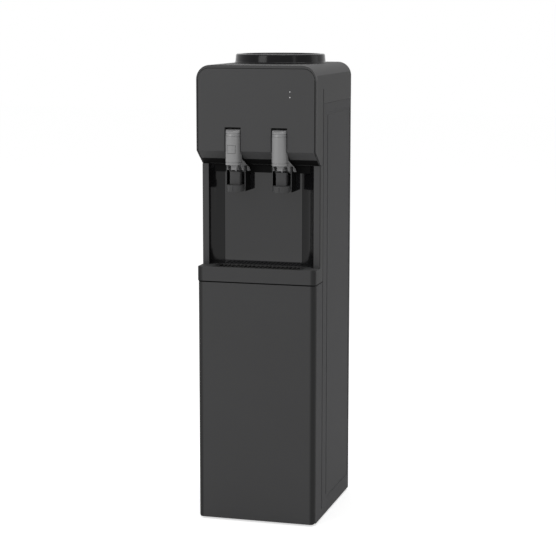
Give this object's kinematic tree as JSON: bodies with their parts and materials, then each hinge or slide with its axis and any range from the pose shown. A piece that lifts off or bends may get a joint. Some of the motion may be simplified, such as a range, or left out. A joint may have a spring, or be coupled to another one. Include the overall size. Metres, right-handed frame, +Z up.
{
  "type": "water dispenser",
  "caption": "Floor-standing hot and normal water dispenser with two press taps, a drip tray and a top seat for an upturned bottle.",
  "frame": {"origin": "centre of the footprint on the floor, half-way between the handles' fronts and the rear wall spacers", "axes": "+Z up, -Y towards the user at the taps, +X to the right for someone facing the front"},
  "size_m": [0.26, 0.3368, 1],
  "materials": {
    "cover_plastic": "satin black moulded plastic",
    "side_steel": "dark grey powder coat",
    "rear_steel": "dark grey powder coat",
    "gloss_black": "gloss black plastic",
    "base_plastic": "matt black plastic",
    "foot_rubber": "matt rubber",
    "tap_plastic": "satin dark grey plastic",
    "handle_plastic": "satin grey plastic",
    "clear_plastic": "natural moulded plastic",
    "tank_steel": "brushed stainless steel",
    "foam": "foamed insulation",
    "heater_brass": "heater band",
    "silicone": "silicone hose",
    "seal_rubber": "red silicone rubber",
    "pin_steel": "bright steel",
    "board_green": "circuit board",
    "lens_light": "translucent white lens",
    "rocker_red": "red rocker",
    "collar_gloss": "gloss black plastic",
    "screw_steel": "plated steel"
  },
  "bodies": {
    "cabinet": {"base_tray": "base_plastic", "feet": "foot_rubber", "left_side_panel": "side_steel", "right_side_panel": "side_steel", "rear_panel": "rear_steel", "lower_front_panel": "cover_plastic", "tray_surround": "cover_plastic", "alcove_frame": "cover_plastic", "back_splash": "gloss_black", "tap_bar": "gloss_black", "front_fascia": "cover_plastic", "head_casing": "cover_plastic", "bottle_collar": "collar_gloss", "collar_gasket": "foot_rubber", "bottle_probe": "clear_plastic", "reservoir": "clear_plastic", "tank_shelf": "rear_steel", "hot_tank": "tank_steel", "left_insulation": "foam", "right_insulation": "foam", "heater_band": "heater_brass", "tank_thermostats": "clear_plastic", "normal_hose": "silicone", "feed_hose": "silicone", "hot_hose": "silicone", "drain_pipe": "tank_steel", "indicator_board": "board_green", "indicator_lenses": "lens_light", "switch_housing": "base_plastic", "cord_inlet": "base_plastic", "terminal_block": "clear_plastic", "hot_tap_body": "tap_plastic", "normal_tap_body": "tap_plastic", "hot_nozzle": "tap_plastic", "normal_nozzle": "tap_plastic", "hot_bonnet": "tap_plastic", "normal_bonnet": "tap_plastic", "hot_spring": "pin_steel", "normal_spring": "pin_steel", "tap_washers": "seal_rubber", "tap_nuts": "clear_plastic", "case_screws": "screw_steel"},
    "hot_handle": {"hot_handle": "handle_plastic", "hot_pin": "pin_steel"},
    "hot_lock": {"lock_button": "handle_plastic"},
    "hot_valve": {"hot_stem": "pin_steel", "hot_seal": "seal_rubber"},
    "normal_handle": {"normal_handle": "handle_plastic", "normal_pin": "pin_steel"},
    "normal_valve": {"normal_stem": "pin_steel", "normal_seal": "seal_rubber"},
    "drip_tray": {"drip_tray": "base_plastic"},
    "drip_grille": {"drip_grille": "base_plastic"},
    "switch_rocker": {"switch_rocker": "rocker_red"},
    "drain_cap": {"drain_cap": "base_plastic"}
  },
  "joints": [
    {"name": "hot_press", "type": "hinge", "parent": "cabinet", "child": "hot_handle", "pos_m": [-0.0504, -0.116, 0.7585], "axis": [-1, 0, 0], "range_deg": [0, 8], "stiffness_Nm_per_rad": 1.2, "springref_deg": -5.73},
    {"name": "hot_valve_lift", "type": "slide", "parent": "cabinet", "child": "hot_valve", "axis": [0, 0, 1], "range_m": [0, 0.0021], "deforming": ["hot_spring"]},
    {"name": "lock_press", "type": "slide", "parent": "hot_handle", "child": "hot_lock", "axis": [0, 1, 0], "range_m": [0, 0.0025], "stiffness_N_per_m": 250, "springref_m": -0.001},
    {"name": "normal_press", "type": "hinge", "parent": "cabinet", "child": "normal_handle", "pos_m": [0.0504, -0.116, 0.7585], "axis": [-1, 0, 0], "range_deg": [0, 8], "stiffness_Nm_per_rad": 1.2, "springref_deg": -5.73},
    {"name": "normal_valve_lift", "type": "slide", "parent": "cabinet", "child": "normal_valve", "axis": [0, 0, 1], "range_m": [0, 0.0021], "deforming": ["normal_spring"]},
    {"name": "tray_lift", "type": "slide", "parent": "cabinet", "child": "drip_tray", "axis": [0, 0, 1], "range_m": [0, 0.06]},
    {"name": "grille_lift", "type": "slide", "parent": "drip_tray", "child": "drip_grille", "axis": [0, 0, 1], "range_m": [0, 0.03]},
    {"name": "rocker_tilt", "type": "hinge", "parent": "cabinet", "child": "switch_rocker", "pos_m": [-0.066, 0.153, 0.862], "axis": [1, 0, 0], "range_deg": [-7, 7]},
    {"name": "drain_cap_turn", "type": "hinge", "parent": "cabinet", "child": "drain_cap", "pos_m": [0, 0.156, 0.604], "axis": [0, 1, 0], "continuous": true}
  ],
  "couplings": [
    {"joint": "hot_valve_lift", "follows": "hot_press", "m_per_rad": 0.015},
    {"joint": "normal_valve_lift", "follows": "normal_press", "m_per_rad": 0.015}
  ]
}
